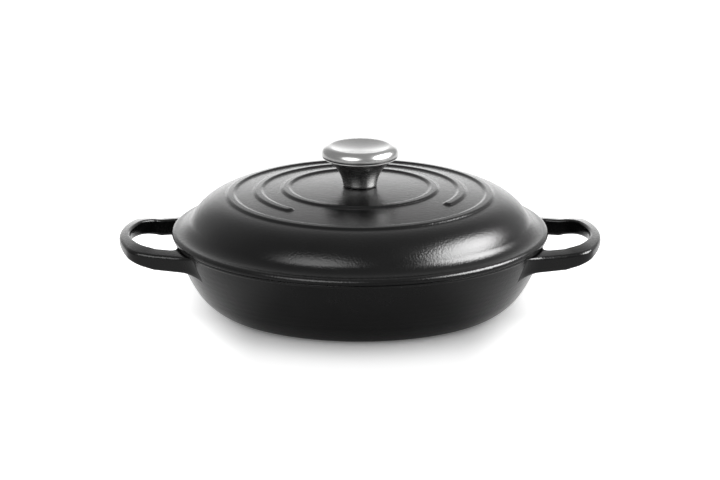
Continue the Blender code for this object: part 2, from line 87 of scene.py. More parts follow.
LID_OVERHANG = 0.0013
LID_RIM_THICKNESS = 0.0044
LID_RIM_ROUND = 0.0032
LID_RIM_EDGE = 0.0008
LID_RIM_LAND = 0.0012
LID_WALL = 0.0042
DOME_EDGE_ANGLE = 8.1
SHOULDER_RADIUS = 0.0359
SHOULDER_ANGLE = 60.0
SHOULDER_RUN = 0.0004
FLARE_RADIUS = 0.0130
FLARE_ANGLE = 8.0
COLLAR_CLEARANCE = 0.0012
COLLAR_DEPTH = 0.0035
COLLAR_WIDTH = 0.0038
COLLAR_EDGE = 0.0007

RING_INNER_RADIUS = 0.0534
RING_PITCH = 0.0200
RING_COUNT = 3
RING_FLAT = 0.0016
RING_FLANK = 0.0028
RING_HEIGHT = 0.0014
BROKEN_RING = 1
RING_BREAK_CENTRE = 7.7
RING_BREAK_ANGLE = 102.7

KNOB_RADIUS = 0.0275
KNOB_HEIGHT = 0.0292
KNOB_WALL = 0.0012
KNOB_SIDE_RADIUS = 0.0058
KNOB_DISH_ANGLE = 14.0
KNOB_SEAM_ANGLE = 108.0
KNOB_FOOT_RADIUS = 0.0117
KNOB_FOOT_EDGE = 0.0005
KNOB_FOOT_THICKNESS = 0.0016
KNOB_STEM_ANGLE = 84.0
KNOB_SEAT_MARGIN = 0.0010
STEM_LIP_INSET = 0.0004
STEM_LIP_EDGE = 0.0004
SPIGOT_HEIGHT = 0.0014
SPIGOT_WALL = 0.0010

SCREW_RADIUS = 0.0030
SCREW_CLEARANCE = 0.0003
SCREW_GRIP = 0.0095
SCREW_TIP_CHAMFER = 0.0005
SCREW_HEAD_RADIUS = 0.0056
SCREW_HEAD_HEIGHT = 0.0034
SCREW_HEAD_SIDE = 0.0010
SCREW_RECESS_LENGTH = 0.0056
SCREW_RECESS_WIDTH = 0.0013
SCREW_RECESS_DEPTH = 0.0018
WASHER_RADIUS = 0.0085
WASHER_THICKNESS = 0.0012
WASHER_EDGE = 0.0002

# Facets; angles in degrees
ARC_STEP = 2.5
SHARP_ANGLE = 40.0
CROWN_ANGLE = 80.0
LAST_ROOT_TURN = 88.0
EDGE_STEPS = 6
EDGE_SUPPORT = 0.0004
PAN_SEGMENTS = 288
LID_SEGMENTS = 384
KNOB_SEGMENTS = 144
SCREW_SEGMENTS = 64
DOME_STEP = 0.0006
DISH_STEPS = 16
CROWN_STEPS = 10
BOW_STEPS = 10
CORNER_STEPS = 20
SIDE_STEPS = 6
ROOT_STEPS = 12
QUARTER_STEPS = 8
MERGE_DISTANCE = 2e-6

# Finishes; depths are those of the bumps
PEEL_SIZE = 0.0014
PEEL_DEPTH = 0.00013
GRAIN_SIZE = 0.0006
GRAIN_DEPTH = 0.000004
CLOUD_SIZE = 0.0180
ENAMEL_DARK = (0.0030, 0.0030, 0.0031, 1.0)
ENAMEL_LIGHT = (0.0040, 0.0040, 0.0041, 1.0)
ENAMEL_ROUGHNESS = 0.19
ENAMEL_SPECULAR = 0.12
FOOT_GREY = 0.03
FOOT_TOP = (0.0002, 0.0006)
BRUSHING_SIZE = 0.00025
BRUSHING_DEPTH = 0.0000025
BRUSHING_STRETCH = 0.0008
BAND_SIZE = 0.0016

# Studio light; the panel's stops are the sine of the height above the floor, and a share of its level
FLOOR_HALF = 8.0
FLOOR_GREY = 0.98
FLOOR_LIFT = 0.11
# Painted light: the floor's extra glow at the sides, which whitens the object's shadow there
SIDE_PAINTED_LIGHT = 0.75
SIDE_PAINTED_LIGHT_RISE = (0.070, 0.140)
SKY_FALL = 2.5
PANEL_LEVEL = 2.0
PANEL_EDGE = (0.09, 0.48)
SOFT_BOX_DISTANCE = 1.6
SOFT_BOX_AIM = (0.0, 0.0, 0.08)
SOFT_BOX_FADE = (0.3, 1.05)
PANEL_STOPS = (
    (0.0, 1.0),
    (0.12, 1.0),
    (0.2, 0.72),
    (0.26, 0.58),
    (0.31, 0.48),
    (0.36, 0.35),
    (0.42, 0.22),
    (0.6, 0.12),
    (1.0, 0.03),
)

CAMERA_PLACE = (0.0, -2.6, 0.78491)
CAMERA_TILT = 74.09
CAMERA_LENS = 186.47

LOOP_HOLE_REACH = LOOP_REACH - LOOP_END_WIDTH
KNOB_SEAT_RADIUS = KNOB_FOOT_RADIUS + KNOB_SEAT_MARGIN
SCREW_BORE = SCREW_RADIUS + SCREW_CLEARANCE
WASHER_TOP = -SEAT_GAP - LID_WALL - SEAT_GAP
SCREW_HEAD_TOP = WASHER_TOP - WASHER_THICKNESS - SEAT_GAP
SCREW_HEAD_LOW = SCREW_HEAD_TOP - SCREW_HEAD_HEIGHT


# Node trees


class Number:
    """A number socket that takes part in sums; each sum adds a Math node."""

    def __init__(self, tree, socket):
        self.tree = tree
        self.socket = socket

    def math(self, operation, *others):
        return self.tree.node("ShaderNodeMath", {"operation": operation}, [self, *others])

    def __add__(self, other):
        return self.math("ADD", other)

    __radd__ = __add__

    def __sub__(self, other):
        return self.math("SUBTRACT", other)

    def __rsub__(self, other):
        return self.tree.node("ShaderNodeMath", {"operation": "SUBTRACT"}, [other, self])

    def __mul__(self, other):
        return self.math("MULTIPLY", other)

    __rmul__ = __mul__

    def __truediv__(self, other):
        return self.math("DIVIDE", other)

    def __pow__(self, other):
        return self.math("POWER", other)

    def __abs__(self):
        return self.math("ABSOLUTE")

    def __lt__(self, other):
        return self.math("LESS_THAN", other)

    def __gt__(self, other):
        return self.math("GREATER_THAN", other)

    def rise(self, low, high):
        """0 below low, 1 above high, and smooth between them."""
        return self.tree.node(
            "ShaderNodeMapRange",
            {"interpolation_type": "SMOOTHSTEP"},
            {"Value": self, "From Min": low, "From Max": high},
        )


class Tree:
    """Adds nodes to a shader or geometry node tree and links them."""

    def __init__(self, nodes):
        self.made = nodes

    def node(self, kind, settings=None, sockets=None, output=0):
        """A node with its settings made first, then its sockets fed; returns one of its outputs."""
        node = self.made.nodes.new(kind)
        for name, value in (settings or {}).items():
            if name == "stops":
                ramp = node.color_ramp.elements
                while len(ramp) < len(value):
                    ramp.new(1.0)
                for stop, (place, grey) in zip(ramp, value):
                    stop.position = place
                    stop.color = (grey, grey, grey, 1.0)
            else:
                setattr(node, name, value)
        pairs = sockets.items() if isinstance(sockets, dict) else enumerate(sockets or [])
        for key, value in pairs:
            self.feed(node.inputs[key], value)
        return Number(self, node.outputs[output])

    def feed(self, socket, value):
        if isinstance(value, Number):
            self.made.links.new(value.socket, socket)
        else:
            socket.default_value = value

    def mix(self, factor, first, second):
        """A colour between two colours."""
        return self.node(
            "ShaderNodeMix", {"data_type": "RGBA"}, {0: factor, 6: first, 7: second}, output=2
        )

    def noise(self, vector, size, detail=2.0, roughness=0.5):
        """Noise whose lumps are about size metres across."""
        return self.node(
            "ShaderNodeTexNoise",
            None,
            {"Vector": vector, "Scale": 1.0 / size, "Detail": detail, "Roughness": roughness},
        )


def grey(level):
    return (level, level, level, 1.0)


# Finishes


def new_finish(name):
    finish = bpy.data.materials.new(name)
    finish.use_nodes = True
    tree = Tree(finish.node_tree)
    return finish, tree, finish.node_tree.nodes["Principled BSDF"]


def enamel(name):
    """Satin black enamel: orange peel, faint cloudiness, and a ground ring under the base."""
    finish, tree, shader = new_finish(name)
    place = tree.node("ShaderNodeTexCoord", output="Object")
    height = tree.node("ShaderNodeSeparateXYZ", None, [place], output="Z")
    peel = tree.noise(place, PEEL_SIZE, 1.0)
    grain = tree.noise(place, GRAIN_SIZE)
    cloud = tree.noise(place, CLOUD_SIZE, 3.0)
    foot = 1.0 - height.rise(*FOOT_TOP)
    tint = tree.mix(cloud.rise(0.35, 0.65), ENAMEL_DARK, ENAMEL_LIGHT)
    tree.feed(shader.inputs["Base Color"], tree.mix(foot, tint, grey(FOOT_GREY)))
    tree.feed(shader.inputs["Roughness"], ENAMEL_ROUGHNESS + cloud * 0.03 + grain * 0.02 + foot * 0.2)
    bumps = tree.node("ShaderNodeBump", None, {"Strength": 1.0, "Distance": PEEL_DEPTH, "Height": peel})
    fine = tree.node(
        "ShaderNodeBump",
        None,
        {"Strength": 1.0, "Distance": GRAIN_DEPTH, "Height": grain, "Normal": bumps},
    )
    tree.feed(shader.inputs["Normal"], fine)
    shader.inputs["Specular IOR Level"].default_value = ENAMEL_SPECULAR
    return finish


def brushed_steel(name, level, roughness, anisotropy):
    """Stainless steel brushed round the knob's axis, so the light spreads across the brushing."""
    finish, tree, shader = new_finish(name)
    place = tree.node("ShaderNodeTexCoord", output="Object")
    parts = [tree.node("ShaderNodeSeparateXYZ", None, [place], output=axis) for axis in "XYZ"]
    radius = (parts[0] * parts[0] + parts[1] * parts[1]).math("SQRT")
    turn = parts[1].math("ARCTAN2", parts[0])
    track = tree.node("ShaderNodeCombineXYZ", None, [radius, turn * BRUSHING_STRETCH, parts[2]])
    brushing = tree.noise(track, BRUSHING_SIZE, roughness=0.6)
    bands = tree.noise(track, BAND_SIZE)
    tint = tree.mix(bands, (level * 0.93, level * 0.93, level * 0.92, 1.0), (level, level, level * 0.99, 1.0))
    tree.feed(shader.inputs["Base Color"], tint)
    tree.feed(shader.inputs["Roughness"], roughness - 0.04 + brushing * 0.05 + bands * 0.03)
    scratches = tree.node(
        "ShaderNodeBump", None, {"Strength": 0.6, "Distance": BRUSHING_DEPTH, "Height": brushing}
    )
    tree.feed(shader.inputs["Normal"], scratches)
    shader.inputs["Metallic"].default_value = 1.0
    shader.inputs["Anisotropic"].default_value = anisotropy
    shader.inputs["Anisotropic Rotation"].default_value = 0.25
    return finish


# Profiles, as lists of radius and height


def sweep(start, heading, new_heading, radius, steps=None):
    """The points of an arc that leaves start along heading and ends along new_heading."""
    steps = steps or max(2, math.ceil(abs(new_heading - heading) / ARC_STEP))
    turn = math.copysign(radius, new_heading - heading)
    first = math.radians(heading)
    points = []
    for step in range(1, steps + 1):
        now = math.radians(heading + (new_heading - heading) * step / steps)
        across = start[0] + turn * (math.sin(now) - math.sin(first))
        up = start[1] + turn * (math.cos(first) - math.cos(now))
        points.append((across, up, math.degrees(now)))
    return points


def ahead(point, distance):
    """The point a distance further along a point's heading."""
    across, up, heading = point
    angle = math.radians(heading)
    return across + distance * math.cos(angle), up + distance * math.sin(angle), heading


def offset(points, distance):
    """Points moved to the left of their heading by distance."""
    moved = []
    for across, up, heading in points:
        angle = math.radians(heading)
        moved.append((across - distance * math.sin(angle), up + distance * math.cos(angle), heading))
    return moved


def rounded(radius, height, out, up, edge):
    """Points round a corner, from its level side to its upright side."""
    points = []
    for step in range(EDGE_STEPS + 1):
        turn = math.pi / 2 * step / EDGE_STEPS
        points.append(
            (radius - out * edge * (1.0 - math.sin(turn)), height - up * edge * (1.0 - math.cos(turn)))
        )
    return points


def supported(points, closed):
    """The profile with a point close to each end of its long stretches, which keeps them flat."""
    points = [Vector(point[:2]) for point in points]
    following = points[1:] + (points[:1] if closed else [])
    full = []
    for low, high in zip(points, following):
        full.append(low)
        run = high - low
        if run.length > 6 * EDGE_SUPPORT:
            step = run.normalized() * EDGE_SUPPORT
            full += [low + step, (low + high) / 2, high - step]
    if not closed:
        full.append(points[-1])
    return full


def wall_profile():
    foot = (BASE_RADIUS, 0.0, 0.0)
    edge = sweep(foot, 0.0, WALL_START_ANGLE, BASE_EDGE_RADIUS)
    lower = sweep(edge[-1], WALL_START_ANGLE, WALL_BEND_ANGLE, WALL_LOWER_RADIUS)
    rise = PAN_HEIGHT - RIM_BAND_HEIGHT - lower[-1][1]
    end_cosine = math.cos(math.radians(WALL_BEND_ANGLE)) - rise / WALL_UPPER_RADIUS
    end_angle = math.degrees(math.acos(end_cosine))
    return [foot] + edge + lower + sweep(lower[-1], WALL_BEND_ANGLE, end_angle, WALL_UPPER_RADIUS)


WALL = wall_profile()
RIM_RADIUS = WALL[-1][0] + RIM_BAND_PROUD
MOUTH_RADIUS = offset(WALL[-1:], PAN_WALL)[0][0]


def wall_radius(height):
    """The outer wall's radius at a height."""
    for low, high in zip(WALL, WALL[1:]):
        if low[1] < high[1] and low[1] <= height <= high[1]:
            share = (height - low[1]) / (high[1] - low[1])
            return low[0] + share * (high[0] - low[0])
    return WALL[-1][0]


def pan_profile():
    recess = [
        (0.0, BASE_RECESS_DEPTH),
        (BASE_RECESS_RADIUS - BASE_RECESS_DEPTH, BASE_RECESS_DEPTH),
        (BASE_RECESS_RADIUS, 0.0),
    ]
    band = [(RIM_RADIUS, PAN_HEIGHT - RIM_BAND_HEIGHT + RIM_BAND_PROUD)]
    rim = rounded(RIM_RADIUS, PAN_HEIGHT, 1, 1, RIM_EDGE)[::-1]
    lip = rounded(MOUTH_RADIUS, PAN_HEIGHT, -1, 1, RIM_EDGE)
    inner = [point for point in offset(WALL, PAN_WALL) if point[2] >= FLOOR_JOIN_ANGLE]
    inner = [point for point in inner if point[1] < PAN_HEIGHT - 2 * RIM_EDGE]
    join = inner[0]
    fillet = (join[1] - PAN_FLOOR) / (1.0 - math.cos(math.radians(join[2])))
    flat = (join[0] - fillet * math.sin(math.radians(join[2])), PAN_FLOOR)
    bottom = sweep(flat, 0.0, join[2], fillet)[:-1]
    return recess + WALL + band + rim + lip + inner[::-1] + bottom[::-1] + [flat, (0.0, PAN_FLOOR)]


def lid_fall():
    """How far out and down the lid runs from its dome's edge to the outside and the top of its rim."""
    dome = math.radians(DOME_EDGE_ANGLE)
    shoulder = math.radians(SHOULDER_ANGLE)
    flare = math.radians(FLARE_ANGLE)
    run = SHOULDER_RADIUS * (math.sin(shoulder) - math.sin(dome)) + SHOULDER_RUN * math.cos(shoulder)
    run += FLARE_RADIUS * (math.sin(shoulder) - math.sin(flare)) + LID_RIM_LAND * math.cos(flare)
    run += LID_RIM_ROUND * (1.0 - math.sin(flare))
    drop = SHOULDER_RADIUS * (math.cos(dome) - math.cos(shoulder)) + SHOULDER_RUN * math.sin(shoulder)
    drop += FLARE_RADIUS * (math.cos(flare) - math.cos(shoulder)) + LID_RIM_LAND * math.sin(flare)
    drop -= LID_RIM_ROUND * (1.0 - math.cos(flare))
    return run, drop


def dome_edge():
    return RIM_RADIUS + LID_OVERHANG - lid_fall()[0]


def dome_drop(radius):
    sphere = dome_edge() / math.sin(math.radians(DOME_EDGE_ANGLE))
    return math.sqrt(sphere**2 - KNOB_SEAT_RADIUS**2) - math.sqrt(sphere**2 - radius**2)


def lid_rise():
    return LID_RIM_THICKNESS + lid_fall()[1] + dome_drop(dome_edge())


LID_SEAT = PAN_HEIGHT + SEAT_GAP
KNOB_BASE = LID_SEAT + lid_rise() + SEAT_GAP


def top_point(radius):
    """The lid's top without its rings at a radius, on the dome or on the shoulder, with its heading."""
    edge = dome_edge()
    slope = math.sin(math.radians(DOME_EDGE_ANGLE))
    if radius <= edge:
        return radius, lid_rise() - dome_drop(radius), -math.degrees(math.asin(radius * slope / edge))
    turn = math.asin(slope + (radius - edge) / SHOULDER_RADIUS)
    drop = SHOULDER_RADIUS * (math.cos(math.radians(DOME_EDGE_ANGLE)) - math.cos(turn))
    return radius, lid_rise() - dome_drop(edge) - drop, -math.degrees(turn)


def dome_points():
    """The top's points with headings, close together, from the knob's seat past the last ring."""
    reach = max(RING_INNER_RADIUS + RING_PITCH * (RING_COUNT - 1) + RING_FLAT + RING_FLANK, dome_edge())
    count = round((reach - KNOB_SEAT_RADIUS) / DOME_STEP)
    step = (reach - KNOB_SEAT_RADIUS) / count
    return [top_point(KNOB_SEAT_RADIUS + step * index) for index in range(count + 1)]


def lid_profile():
    dome = dome_points()
    shoulder = sweep(dome[-1], dome[-1][2], -SHOULDER_ANGLE, SHOULDER_RADIUS)
    skirt = ahead(shoulder[-1], SHOULDER_RUN)
    flare = sweep(skirt, -SHOULDER_ANGLE, -FLARE_ANGLE, FLARE_RADIUS)
    land = ahead(flare[-1], LID_RIM_LAND)
    rim = sweep(land, -FLARE_ANGLE, -90.0, LID_RIM_ROUND)
    rim += rounded(RIM_RADIUS + LID_OVERHANG, 0.0, 1, -1, LID_RIM_EDGE)[::-1]
    collar = MOUTH_RADIUS - COLLAR_CLEARANCE
    spigot = [(collar, 0.0)]
    spigot += rounded(collar, -COLLAR_DEPTH, 1, -1, COLLAR_EDGE)[::-1]
    spigot += rounded(collar - COLLAR_WIDTH, -COLLAR_DEPTH, -1, -1, COLLAR_EDGE)
    under = offset(shoulder, -LID_WALL)[::-1] + offset(dome[::8], -LID_WALL)[::-1]
    seat = lid_rise()
    bore = [(SCREW_BORE, seat - LID_WALL), (SCREW_BORE, seat)]
    points = dome + shoulder + [skirt] + flare + [land] + rim + spigot + under + bore
    return [(point[0], point[1] + LID_SEAT) for point in points]


def cap_profile():
    turn = math.radians(KNOB_DISH_ANGLE)
    edge = (
        KNOB_RADIUS - KNOB_SIDE_RADIUS * (1.0 + math.sin(turn)),
        KNOB_HEIGHT - KNOB_SIDE_RADIUS * (1.0 - math.cos(turn)),
    )
    sphere = edge[0] / math.sin(turn)
    floor = (0.0, edge[1] - sphere * (1.0 - math.cos(turn)), 0.0)
    dish = sweep(floor, 0.0, KNOB_DISH_ANGLE, sphere, DISH_STEPS)
    return [floor] + dish + sweep(dish[-1], KNOB_DISH_ANGLE, -KNOB_SEAM_ANGLE, KNOB_SIDE_RADIUS)


def cap_shell():
    outer = cap_profile()
    return [(point[0], point[1] + KNOB_BASE) for point in outer + offset(outer, -KNOB_WALL)[::-1]]


def stem_shell():
    """The stem's shell: one arc flares from its foot to a lip that the cap's lower edge covers."""
    seam = cap_profile()[-1]
    shelf = seam[1] - SEAT_GAP
    foot = (KNOB_FOOT_RADIUS + KNOB_FOOT_EDGE, KNOB_FOOT_EDGE, KNOB_STEM_ANGLE)
    run = seam[0] - STEM_LIP_INSET - foot[0]
    climb = shelf - STEM_LIP_EDGE - foot[1]
    lean = math.degrees(math.atan2(climb, run))
    turn = KNOB_STEM_ANGLE - lean
    radius = math.hypot(run, climb) / (2.0 * math.sin(math.radians(turn)))
    flare = [foot] + sweep(foot, KNOB_STEM_ANGLE, lean - turn, radius)
    spigot_outer = offset([seam], -KNOB_WALL)[0][0] - SEAT_GAP
    spigot_inner = spigot_outer - SPIGOT_WALL
    first = math.radians(KNOB_STEM_ANGLE)
    centre = (foot[0] + radius * math.sin(first), foot[1] - radius * math.cos(first))
    under_lip = centre[1] + math.sqrt((radius + KNOB_WALL) ** 2 - (centre[0] - spigot_inner) ** 2)
    lip = [
        (flare[-1][0], shelf),
        (spigot_outer, shelf),
        (spigot_outer, shelf + SPIGOT_HEIGHT),
        (spigot_inner, shelf + SPIGOT_HEIGHT),
        (spigot_inner, under_lip),
    ]
    inner = [point for point in offset(flare, KNOB_WALL) if point[0] < spigot_inner - SPIGOT_WALL / 4]
    inner = [point for point in inner if point[1] > KNOB_FOOT_THICKNESS + KNOB_WALL / 2]
    floor = [
        (inner[0][0] - KNOB_WALL, KNOB_FOOT_THICKNESS),
        (SCREW_BORE, KNOB_FOOT_THICKNESS),
        (SCREW_BORE, 0.0),
        (KNOB_FOOT_RADIUS, 0.0),
    ]
    return [(point[0], point[1] + KNOB_BASE) for point in flare + lip + inner[::-1] + floor]


def washer_ring():
    low = WASHER_TOP - WASHER_THICKNESS
    hole = SCREW_BORE + WASHER_EDGE
    rim = rounded(WASHER_RADIUS, WASHER_TOP, 1, 1, WASHER_EDGE)
    rim += rounded(WASHER_RADIUS, low, 1, -1, WASHER_EDGE)[::-1]
    return [(point[0], point[1] + KNOB_BASE) for point in [(hole, WASHER_TOP)] + rim + [(hole, low)]]


def screw_shank():
    crown = []
    for step in range(CROWN_STEPS):
        angle = math.radians(CROWN_ANGLE - CROWN_ANGLE / CROWN_STEPS * step)
        drop = SCREW_HEAD_SIDE + (SCREW_HEAD_HEIGHT - SCREW_HEAD_SIDE) * math.cos(angle)
        crown.append((SCREW_HEAD_RADIUS * math.sin(angle), SCREW_HEAD_TOP - drop))
    shank = [
        (0.0, SCREW_GRIP),
        (SCREW_RADIUS - SCREW_TIP_CHAMFER, SCREW_GRIP),
        (SCREW_RADIUS, SCREW_GRIP - SCREW_TIP_CHAMFER),
        (SCREW_RADIUS, SCREW_HEAD_TOP),
        (SCREW_HEAD_RADIUS, SCREW_HEAD_TOP),
    ]
    points = shank + crown + [(0.0, SCREW_HEAD_LOW)]
    return [(point[0], point[1] + KNOB_BASE) for point in points]


# Geometry node trees


def new_geometry_tree(name, sizes):
    """A geometry tree with a named input for each size, and its own maker of nodes."""
    group = bpy.data.node_groups.new(name, "GeometryNodeTree")
    group.interface.new_socket("Geometry", in_out="OUTPUT", socket_type="NodeSocketGeometry")
    group.interface.new_socket("Geometry", in_out="INPUT", socket_type="NodeSocketGeometry")
    for size, kind in sizes:
        group.interface.new_socket(size, in_out="INPUT", socket_type=kind)
    group.interface.new_socket("Material", in_out="INPUT", socket_type="NodeSocketMaterial")
    tree = Tree(group)
    entry = group.nodes.new("NodeGroupInput")
    given = {socket.name: Number(tree, socket) for socket in entry.outputs if socket.name}
    return group, tree, given


def end_tree(group, tree, shape, finish):
    whole = tree.node("GeometryNodeRealizeInstances", None, [shape])
    coated = tree.node("GeometryNodeSetMaterial", None, {"Geometry": whole, "Material": finish})
    leave = group.nodes.new("NodeGroupOutput")
    tree.feed(leave.inputs[0], coated)


def turning_tree():
    """Turns a profile of points round Z: one column of a grid for each step of the turn."""
    group, tree, given = new_geometry_tree("turned_casting", [("Segments", "NodeSocketInt")])
    profile = given["Geometry"]
    count = tree.node(
        "GeometryNodeAttributeDomainSize", {"component": "MESH"}, [profile], output="Point Count"
    )
    grid = tree.node(
        "GeometryNodeMeshGrid", None, {"Vertices X": given["Segments"] + 1.0, "Vertices Y": count}
    )
    index = tree.node("GeometryNodeInputIndex")
    row = index.math("MODULO", count)
    column = ((index + 0.5) / count).math("FLOOR")
    place = tree.node("GeometryNodeInputPosition")
    sampled = tree.node(
        "GeometryNodeSampleIndex",
        {"data_type": "FLOAT_VECTOR", "domain": "POINT"},
        {"Geometry": profile, "Value": place, "Index": row},
    )
    radius = tree.node("ShaderNodeSeparateXYZ", None, [sampled], output="X")
    height = tree.node("ShaderNodeSeparateXYZ", None, [sampled], output="Z")
    turn = column * math.tau / given["Segments"]
    moved = tree.node(
        "ShaderNodeCombineXYZ", None, [radius * turn.math("COSINE"), radius * turn.math("SINE"), height]
    )
    turned = tree.node("GeometryNodeSetPosition", None, {"Geometry": grid, "Position": moved})
    joined = tree.node("GeometryNodeMergeByDistance", None, {"Geometry": turned, "Distance": MERGE_DISTANCE})
    end_tree(group, tree, joined, given["Material"])
    return group


RING_SIZES = {
    "Inner Radius": RING_INNER_RADIUS,
    "Pitch": RING_PITCH,
    "Last Ring": RING_COUNT - 1.0,
    "Half Flat": RING_FLAT,
    "Flank": RING_FLANK,
    "Ring Height": RING_HEIGHT,
    "Broken Ring": float(BROKEN_RING),
    "Break Centre": math.radians(RING_BREAK_CENTRE - 90.0),
    "Half Break": math.radians(RING_BREAK_ANGLE / 2),
}


def ring_tree():
    """Raises flat rings with smooth flanks on a lid's top; one is broken, with round ends."""
    sizes = [(name, "NodeSocketFloat") for name in RING_SIZES]
    group, tree, given = new_geometry_tree("raised_rings", sizes)
    place = tree.node("GeometryNodeInputPosition")
    parts = [tree.node("ShaderNodeSeparateXYZ", None, [place], output=axis) for axis in "XYZ"]
    radius = (parts[0] * parts[0] + parts[1] * parts[1]).math("SQRT")
    nearest = ((radius - given["Inner Radius"]) / given["Pitch"]).math("ROUND")
    nearest = nearest.math("MAXIMUM", 0.0).math("MINIMUM", given["Last Ring"])
    crest = given["Inner Radius"] + nearest * given["Pitch"]
    turn = parts[1].math("ARCTAN2", parts[0]) - given["Break Centre"]
    turn = abs(turn.math("WRAP", math.pi, -math.pi))
    along = radius * turn.math("COSINE") - crest * given["Half Break"].math("COSINE")
    aside = radius * turn.math("SINE") - crest * given["Half Break"].math("SINE")
    to_end = (along * along + aside * aside).math("SQRT")
    in_gap = (abs(nearest - given["Broken Ring"]) < 0.5) * (turn < given["Half Break"])
    away = abs(radius - crest) * (1.0 - in_gap) + to_end * in_gap
    share = ((away - given["Half Flat"]) / given["Flank"]).math("MAXIMUM", 0.0).math("MINIMUM", 1.0)
    lift = given["Ring Height"] * 0.5 * ((share * math.pi).math("COSINE") + 1.0)
    facing = tree.node("GeometryNodeInputNormal")
    upward = tree.node("ShaderNodeSeparateXYZ", None, [facing], output="Z") > 0.1
    raised = tree.node("ShaderNodeCombineXYZ", None, {"Z": lift * upward})
    shape = tree.node("GeometryNodeSetPosition", None, {"Geometry": given["Geometry"], "Offset": raised})
    end_tree(group, tree, shape, given["Material"])
    return group


def run_tree(item, group, values):
    """Puts item through a tree with its inputs set, and returns a plain mesh."""
    modifier = item.modifiers.new(group.name, "NODES")
    modifier.node_group = group
    for socket in group.interface.items_tree:
        if socket.in_out == "INPUT" and socket.name in values:
            modifier[socket.identifier] = values[socket.name]
    bpy.context.view_layer.update()
    ready = item.evaluated_get(bpy.context.evaluated_depsgraph_get())
    mesh = bpy.data.meshes.new_from_object(ready)
    item.modifiers.remove(modifier)
    return mesh


def clean(mesh):
    """Merges doubles, turns the faces outward and sets smooth shading."""
    shape = bmesh.new()
    shape.from_mesh(mesh)
    bmesh.ops.remove_doubles(shape, verts=shape.verts, dist=1e-6)
    bmesh.ops.recalc_face_normals(shape, faces=shape.faces)
    shape.to_mesh(mesh)
    shape.free()
    mesh.shade_smooth()
    mesh.set_sharp_from_angle(angle=math.radians(SHARP_ANGLE))


def add_piece(name, mesh):
    piece = bpy.data.objects.new(name, mesh)
    bpy.context.collection.objects.link(piece)
    return piece


def fit(piece, body, node):
    """The piece rides on a body and stands for a node, which is hidden."""
    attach(piece, body)
    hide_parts(node)


def turned_piece(name, profile, segments, finish, tree, closed=False):
    """A piece turned round Z from a profile that starts and ends on the axis, or is a ring."""
    points = supported(profile, closed)
    if closed:
        points.append(points[0])
    outline = bpy.data.meshes.new(name)
    outline.from_pydata([(point[0], 0.0, point[1]) for point in points], [], [])
    piece = add_piece(name, outline)
    piece.data = run_tree(piece, tree, {"Segments": segments, "Material": finish})
    piece.data.name = name
    clean(piece.data)
    return piece


# The loop handles


def loop_outline(reach, bow_radius, bow_angle, corner_radius, splay, run_end):
    """Half of a loop's outline from above, from its tip on the X axis to run_end on its side."""
    bow = sweep((reach, 0.0), 90.0, 90.0 + bow_angle, bow_radius, BOW_STEPS)
    corner = sweep(bow[-1], 90.0 + bow_angle, 180.0 - splay, corner_radius, CORNER_STEPS)
    start = corner[-1]
    run = (start[0] - run_end) / SIDE_STEPS
    slope = math.tan(math.radians(splay))
    straight = [
        (start[0] - run * step, start[1] + run * step * slope) for step in range(1, SIDE_STEPS + 1)
    ]
    return [(reach, 0.0)] + [point[:2] for point in bow + corner] + straight


def loop_heights(reach):
    """The heights of a bar's top and bottom at its outer side, and of its bottom at the hole."""
    share = (reach - RIM_RADIUS) / (LOOP_REACH - RIM_RADIUS)
    top = LOOP_TOP_AT_RIM + share * (LOOP_TOP_AT_TIP - LOOP_TOP_AT_RIM)
    outer = LOOP_BOTTOM_AT_RIM + share * (LOOP_BOTTOM_AT_TIP - LOOP_BOTTOM_AT_RIM)
    inner = LOOP_HOLE_BOTTOM_AT_RIM + share * (LOOP_HOLE_BOTTOM_AT_TIP - LOOP_HOLE_BOTTOM_AT_RIM)
    return top, outer, inner


def loop_section(outer, inner):
    """The bar's rounded section between two outline points, with each corner's way outward."""
    outer = Vector(outer)
    inner = Vector(inner)
    middle = (outer + inner) / 2
    half = (outer - inner).length / 2
    across = (outer - inner).normalized()
    top, outer_low, inner_low = loop_heights(middle.x)
    corners = []
    for quarter in range(4):
        side = 1.0 if quarter in (0, 3) else -1.0
        level = 1.0 if quarter in (0, 1) else -1.0
        drop = 0.0 if level > 0.0 else LOOP_ROOT_DROP
        widen = LOOP_ROOT_OUTER_SPREAD if side > 0.0 else LOOP_ROOT_INNER_SPREAD
        spread = across * (side * widen)
        for step in range(QUARTER_STEPS + 1):
            angle = math.radians(90.0 * (quarter + step / QUARTER_STEPS))
            aside = side * (half - LOOP_EDGE) + LOOP_EDGE * math.cos(angle)
            place = middle + across * aside
            inward = half - aside
            high = top + LOOP_LEAN * inward - LOOP_EDGE
            low = outer_low + (inner_low - outer_low) * inward / (2 * half) + LOOP_EDGE
            up = (high if level > 0.0 else low) + LOOP_EDGE * math.sin(angle)
            away = Vector((spread.x, spread.y, drop * math.sin(angle)))
            corners.append((Vector((place.x, place.y, up)), away))
    return corners


def meet_wall(corner, heading, radius):
    """How far a level line from corner along heading runs before it is radius from the axis."""
    along = corner.x * heading.x + corner.y * heading.y
    spare = corner.x**2 + corner.y**2 - radius**2
    return -along - math.sqrt(along**2 - spare)


def loop_root(section, heading):
    """Rings that carry each corner of the last section into the wall through a fillet."""
    rings = []
    for step in range(ROOT_STEPS + 1):
        turn = math.radians(min(90.0 * step / ROOT_STEPS, LAST_ROOT_TURN))
        short = LOOP_ROOT_FILLET * (1.0 - math.sin(turn))
        spread = LOOP_ROOT_FILLET * (1.0 - math.cos(turn))
        if step == ROOT_STEPS:
            short = -LOOP_BURIED
        ring = []
        for corner, away in section:
            place = corner + away * spread
            place += heading * (meet_wall(place, heading, wall_radius(place.z)) - short)
            ring.append(place)
        rings.append(ring)
    return rings


